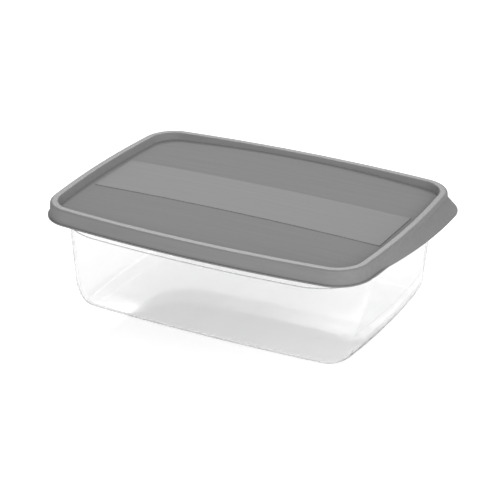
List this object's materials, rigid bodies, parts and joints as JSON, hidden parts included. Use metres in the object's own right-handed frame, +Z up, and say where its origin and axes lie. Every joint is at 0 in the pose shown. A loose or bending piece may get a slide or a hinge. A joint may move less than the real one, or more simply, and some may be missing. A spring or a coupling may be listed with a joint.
{
  "type": "food storage container",
  "caption": "Clear rectangular food storage tub with tapered walls and rounded corners, under a grey lid with a sunk panel, a raised strip and a lift tab.",
  "frame": {"origin": "middle of the tub's flat underside", "axes": "+X along the long sides, towards the lift tab; +Z up; +Y completes the right hand"},
  "size_m": [0.2483, 0.171, 0.076],
  "materials": {
    "clear_plastic": "clear, slightly frosted",
    "grey_plastic": "satin"
  },
  "bodies": {
    "root": {"tub": "clear_plastic", "lid": "grey_plastic"}
  },
  "joints": []
}
